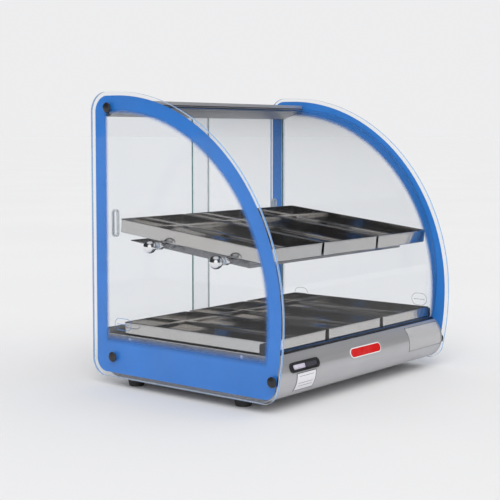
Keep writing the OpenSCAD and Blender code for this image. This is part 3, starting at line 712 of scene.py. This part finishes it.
def axis_place(point, direction):
    """Matrix that puts local Z along a direction at a point."""
    return Matrix.Translation(point) @ Vector(direction).to_track_quat("Z", "Y").to_matrix().to_4x4()


def cluster_centres(node):
    """Centres of the separate solids in a CAD node, sorted by x, y and z."""
    bm = bmesh.new()
    bm.from_mesh(frame["nodes"][node].data)
    bmesh.ops.remove_doubles(bm, verts=bm.verts, dist=2e-6)
    bm.verts.ensure_lookup_table()
    seen = set()
    out = []
    for first in bm.verts:
        if first.index in seen:
            continue
        stack = [first]
        seen.add(first.index)
        members = []
        while stack:
            vert = stack.pop()
            members.append(vert.co.copy())
            for edge in vert.link_edges:
                other = edge.other_vert(vert)
                if other.index not in seen:
                    seen.add(other.index)
                    stack.append(other)
        low = Vector([min(p[i] for p in members) for i in range(3)])
        high = Vector([max(p[i] for p in members) for i in range(3)])
        out.append((low, high))
    bm.free()
    return sorted(out, key=lambda pair: tuple(pair[0]))


def cap_screws():
    """Domed plastic caps over the panel screws, with a rolled rim and a shank."""
    bm = bmesh.new()
    for low, high in cluster_centres("panel_cap_screws"):
        side = -1 if low.x < 0 else 1
        face = (low.x if side < 0 else high.x) - side * 4 * MM
        inner = high.x if side < 0 else low.x
        place = axis_place((face, (low.y + high.y) / 2, (low.z + high.z) / 2), (side, 0, 0))
        profile = [(-abs(face - inner), 0), (-abs(face - inner), 2.5 * MM), (0, 2.5 * MM), (0, 7.4 * MM)]
        profile += [(0.25 * MM, 7.8 * MM), (0.7 * MM, 7.95 * MM)]
        for k in range(1, 10):
            a = math.radians(10 * k)
            profile.append((0.7 * MM + 3.3 * MM * math.sin(a), 7.95 * MM * math.cos(a)))
        profile[-1] = (4 * MM, 0)
        turned(bm, profile, place)
    obj = piece("cap_screws_look", bm, "case", "black_plastic", [MATERIALS["black_plastic"]],
                ["panel_cap_screws"])
    smooth(obj, False)
    obj.data.set_sharp_from_angle(angle=math.radians(50))


def ball_knobs():
    """Chrome ball nuts outside the glass, each with a turned neck."""
    bm = bmesh.new()
    for low, high in cluster_centres("shelf_ball_knobs"):
        side = -1 if low.x < 0 else 1
        glass_side = high.x if side < 0 else low.x
        tip = low.x if side < 0 else high.x
        radius = 10 * MM
        centre = abs(tip - glass_side) - radius
        place = axis_place((glass_side, (low.y + high.y) / 2, (low.z + high.z) / 2), (side, 0, 0))
        neck = 4.5 * MM
        start = math.degrees(math.acos(neck / radius))
        profile = [(0, 0), (0, neck - 0.3 * MM), (0.3 * MM, neck)]
        profile += arc_profile((centre, 0), radius, -start, 90, 26)
        profile[-1] = (centre + radius, 0)
        turned(bm, profile, place, 56)
    obj = piece("ball_knobs_look", bm, "case", "chrome", [MATERIALS["chrome"]], ["shelf_ball_knobs"])
    smooth(obj, False)
    obj.data.set_sharp_from_angle(angle=math.radians(40))


def inner_nuts():
    """Small chrome balls between the shelf flanges and the glass."""
    bm = bmesh.new()
    for low, high in cluster_centres("shelf_inner_nuts"):
        side = -1 if low.x < 0 else 1
        inner = high.x if side < 0 else low.x
        length = high.x - low.x
        radius = 6 * MM
        centre = length - radius
        neck = 4 * MM
        place = axis_place((inner, (low.y + high.y) / 2, (low.z + high.z) / 2), (side, 0, 0))
        start = math.degrees(math.acos(neck / radius))
        profile = [(0, 0), (0, neck - 0.2 * MM), (0.2 * MM, neck)]
        profile += arc_profile((centre, 0), radius, -start, 90, 18)
        profile[-1] = (length, 0)
        turned(bm, profile, place, 40)
    obj = piece("inner_nuts_look", bm, "case", "chrome", [MATERIALS["chrome"]], ["shelf_inner_nuts"])
    smooth(obj, False)
    obj.data.set_sharp_from_angle(angle=math.radians(40))


def feet():
    """Moulded rubber feet: tapered, with a rounded shoulder and a rounded tread edge."""
    bm = bmesh.new()
    for low, high in cluster_centres("rubber_feet"):
        place = Matrix.Translation(((low.x + high.x) / 2, (low.y + high.y) / 2, 0))
        height = high.z - low.z
        profile = [(5 * MM, 0), (5 * MM, 4.5 * MM), (0.3 * MM, 4.6 * MM), (0, 5 * MM), (0, 10.8 * MM)]
        profile += arc_profile((1.2 * MM, 10.8 * MM), 1.2 * MM, -90, 10, 5)
        profile += [(height - 3 * MM, 14.3 * MM), (height - 1 * MM, 14.6 * MM)]
        profile += [(height - 0.3 * MM, 14.3 * MM), (height, 13.6 * MM), (height, 0)]
        turned(bm, profile, place, 48)
    obj = piece("feet_look", bm, "case", "rubber", [MATERIALS["rubber"]], ["rubber_feet"])
    smooth(obj, False)
    obj.data.set_sharp_from_angle(angle=math.radians(50))


def nose_place(x, z, lift=0.0):
    """Frame on the rolled front at a height above the counter: local X across, local Z outwards."""
    rise = math.asin((z - NOSE_CENTRE[1]) / NOSE_RADIUS)
    reach = NOSE_RADIUS + lift
    y = NOSE_CENTRE[0] - reach * math.cos(rise)
    place = Matrix.Translation((x, y, NOSE_CENTRE[1] + reach * math.sin(rise)))
    return place @ Matrix.Rotation(math.pi / 2 - rise, 4, "X")


def badge():
    """Blank oval badge: a white rim around a raised red field."""
    low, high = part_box("front_badge")
    place = nose_place((low.x + high.x) / 2, 63 * MM)
    width = high.x - low.x
    bm = bmesh.new()
    pillow_slab(bm, width, 16 * MM, 7.9 * MM, -0.4 * MM, 0.9 * MM, 0.5 * MM, place)
    obj = piece("badge_rim_look", bm, "case", "badge_red", [BADGE_WHITE], ["front_badge"])
    smooth(obj)
    bm = bmesh.new()
    pillow_slab(bm, width - 3.2 * MM, 12.8 * MM, 6.3 * MM, 0.7 * MM, 1.2 * MM, 0.4 * MM, place)
    smooth(piece("badge_field_look", bm, "case", "badge_red", [MATERIALS["badge_red"]]))


def thermometer():
    """Bezel, pale scale window on the left and dark window on the right, under one rim."""
    softened("thermometer_bezel", 0.5 * MM, 3)
    low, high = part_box("thermometer_window")
    place = nose_place((low.x + high.x) / 2, 64 * MM)
    width = high.x - low.x
    pale = width * 0.52
    dark = width - pale
    bm = bmesh.new()
    shift = Matrix.Translation((-(width - pale) / 2 + 0.8 * MM, 0, 0))
    pillow_slab(bm, pale - 4 * MM, 6.6 * MM, 1.2 * MM, 1.05 * MM, 1.7 * MM, 0.25 * MM, place @ shift)
    smooth(piece("thermometer_scale_look", bm, "case", "display", [MATERIALS["display"]],
                 ["thermometer_window"]))
    bm = bmesh.new()
    shift = Matrix.Translation(((width - dark) / 2 - 0.2 * MM, 0, 0))
    pillow_slab(bm, dark - 2 * MM, 7.4 * MM, 1.6 * MM, 1.05 * MM, 1.6 * MM, 0.25 * MM, place @ shift)
    smooth(piece("thermometer_dark_look", bm, "case", "display", [DISPLAY_DARK]))


def dial_marks():
    """Printed ticks round the thermostat dial and the knob's white pointer line."""
    low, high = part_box("thermostat_dial")
    centre = ((low.x + high.x) / 2, (low.z + high.z) / 2)
    bm = bmesh.new()
    for i in range(11):
        angle = math.radians(225 - 27 * i)
        long_tick = 1.9 * MM if i % 5 == 0 else 1.2 * MM
        middle = 14.7 * MM - long_tick / 2
        spot = (centre[0] - middle * math.cos(angle), high.y, centre[1] + middle * math.sin(angle))
        lie_down = Matrix.Rotation(-math.pi / 2, 4, "X")
        place = Matrix.Translation(spot) @ Matrix.Rotation(angle, 4, "Y") @ lie_down
        pillow_slab(bm, long_tick, 0.5 * MM, 0.2 * MM, -0.05 * MM, 0.06 * MM, 0.03 * MM, place)
    piece("dial_marks_look", bm, "case", "black_plastic", [MATERIALS["black_plastic"]])
    low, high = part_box("thermostat_knob")
    bm = bmesh.new()
    place = Matrix.Translation((centre[0], high.y, centre[1] + 7.4 * MM)) @ lie_down
    pillow_slab(bm, 1.0 * MM, 6.4 * MM, 0.4 * MM, -0.1 * MM, 0.12 * MM, 0.08 * MM, place)
    piece("knob_line_look", bm, "knob", "dial_white", [MATERIALS["dial_white"]])


def screw_heads(node, direction, radius, height, name):
    """Pan heads with a round, cone-shaped recess on a row of screws, in place of the plain CAD heads."""
    bm = bmesh.new()
    for low, high in cluster_centres(node):
        up = direction > 0
        seat = (high.z - height) if up else (low.z + height)
        place = axis_place(((low.x + high.x) / 2, (low.y + high.y) / 2, seat), (0, 0, direction))
        shank = abs((low.z if up else high.z) - seat)
        profile = [(-shank, 0), (-shank, radius * 0.5), (0, radius * 0.5), (0, radius * 0.96)]
        profile += [(height * 0.15, radius), (height * 0.55, radius * 0.9), (height * 0.85, radius * 0.7)]
        profile += [(height * 0.97, radius * 0.45), (height * 0.97, radius * 0.38)]
        profile += [(height * 0.35, radius * 0.12), (height * 0.3, 0)]
        turned(bm, profile, place, 24)
    obj = piece(name, bm, BODY_OF[node], SLOT_OF[node], [MATERIALS[SLOT_OF[node]]], [node])
    smooth(obj, False)
    obj.data.set_sharp_from_angle(angle=math.radians(45))


def plain_nodes():
    """CAD nodes whose shape is right keep it and take their slot's material."""
    for node, obj in frame["nodes"].items():
        obj.data.materials.clear()
        obj.data.materials.append(MATERIALS[SLOT_OF[node]])


# ---------------------------------------------------------------- stage, lights and camera


def stage():
    """Wide pale floor that meets the background without a visible line."""
    bm = bmesh.new()
    rings = []
    for radius in (0.6, 2, 8, 40, 200):
        turn = [2 * math.pi * i / 64 for i in range(64)]
        rings.append([bm.verts.new((radius * math.cos(a), radius * math.sin(a), 0)) for a in turn])
    loft(bm, rings, False, False)
    bm.faces.new(rings[0])
    bmesh.ops.recalc_face_normals(bm, faces=bm.faces)
    mesh = bpy.data.meshes.new("floor")
    bm.to_mesh(mesh)
    bm.free()
    floor = bpy.data.objects.new("floor", mesh)
    bpy.context.scene.collection.objects.link(floor)
    mesh.materials.append(painted_floor("floor_paint"))


def world_light():
    """Soft studio surround: even light for matt things, a darker room with softboxes for mirrors."""
    world = bpy.data.worlds.new("studio")
    bpy.context.scene.world = world
    world.use_nodes = True
    tree = world.node_tree
    tree.nodes.clear()

    def add(kind, inputs=None, **settings):
        node = tree.nodes.new(kind)
        for key, value in settings.items():
            setattr(node, key, value)
        for key, value in (inputs or {}).items():
            if isinstance(value, bpy.types.NodeSocket):
                tree.links.new(value, node.inputs[key])
            else:
                node.inputs[key].default_value = value
        return node

    sky = add("ShaderNodeTexCoord").outputs["Generated"]

    def softbox(direction, start, full, strength):
        aim = tuple(Vector(direction).normalized())
        near = add("ShaderNodeVectorMath", {0: sky, 1: aim}, operation="DOT_PRODUCT").outputs["Value"]
        inputs = {"Value": near, "From Min": start, "From Max": full, "To Min": 0.0, "To Max": strength}
        return add("ShaderNodeMapRange", inputs, interpolation_type="SMOOTHSTEP").outputs[0]

    boxes = softbox((0, 0, 1), 0.70, 0.95, BOX_ABOVE)
    boxes = add("ShaderNodeMath", {0: boxes, 1: softbox((-0.78, -0.60, 0.30), 0.80, 0.93, BOX_BESIDE)},
                operation="MAXIMUM").outputs[0]
    room = add("ShaderNodeMath", {0: boxes, 1: ROOM_DIM}, operation="ADD").outputs[0]
    path = add("ShaderNodeLightPath").outputs
    mirrored = add("ShaderNodeBackground", {"Strength": room}).outputs[0]
    even = add("ShaderNodeBackground", {"Color": (1, 1, 1, 1), "Strength": ROOM_EVEN}).outputs[0]
    shown = add("ShaderNodeBackground", {"Color": (*BACKGROUND, 1)}).outputs[0]
    unseen = add("ShaderNodeMixShader", {0: path["Is Glossy Ray"], 1: even, 2: mirrored}).outputs[0]
    surround = add("ShaderNodeMixShader", {0: path["Is Camera Ray"], 1: unseen, 2: shown}).outputs[0]
    add("ShaderNodeOutputWorld", {"Surface": surround})


def sun(name, direction, strength, spread):
    """Very soft distant light from a direction."""
    data = bpy.data.lights.new(name, "SUN")
    data.energy = strength
    data.angle = math.radians(spread)
    lamp = bpy.data.objects.new(name, data)
    bpy.context.scene.collection.objects.link(lamp)
    lamp.rotation_mode = "QUATERNION"
    lamp.rotation_quaternion = Vector(direction).to_track_quat("Z", "Y")
    lamp.visible_glossy = False


def camera():
    data = bpy.data.cameras.new("camera")
    data.lens = CAMERA_LENS
    data.sensor_width = 36
    data.shift_y = CAMERA_SHIFT
    data.clip_end = 500
    obj = bpy.data.objects.new("camera", data)
    bpy.context.scene.collection.objects.link(obj)
    obj.location = CAMERA_PLACE
    obj.rotation_euler = (math.pi / 2 - CAMERA_PITCH, 0, CAMERA_YAW)
    bpy.context.scene.camera = obj


# ---------------------------------------------------------------- build

SOFTENED = {
    "roof_panel": 0.5, "top_door_track": 0.3, "bottom_door_track": 0.25, "base_shell": 0.3,
    "base_end_left": 0.3, "base_end_right": 0.3, "deck_plate": 0.3, "front_glass_sill": 0.3,
    "front_glass_head_seal": 0.3, "front_glass_clips": 0.6, "service_cover": 0.2,
    "shelf_plate": 0.35, "shelf_cross_rail": 0.25, "thermostat_knob": 0.4, "thermostat_dial": 0.15,
    "switch_housing": 0.3, "switch_rocker": 0.4, "pilot_light": 0.3, "cable_gland": 0.3,
    "terminal_block": 0.4, "roof_end_brackets": 0.3, "base_side_studs": 0.3,
}

bpy.context.scene.view_settings.view_transform = "Standard"
camera()
stage()
world_light()
sun("key_light", (-0.75, -0.55, 0.95), 1.3, 40)
sun("fill_light", (0.55, -0.75, 0.7), 0.45, 60)
plain_nodes()
for node_name, edge_mm in SOFTENED.items():
    softened(node_name, edge_mm * MM)
side_panes()
doors()
curved_front()
pans()
cap_screws()
ball_knobs()
inner_nuts()
feet()
badge()
thermometer()
dial_marks()
screw_heads("deck_screws", 1, 3 * MM, 1.2 * MM, "deck_screws_look")
screw_heads("service_cover_screws", -1, 3.2 * MM, 1.6 * MM, "cover_screws_look")
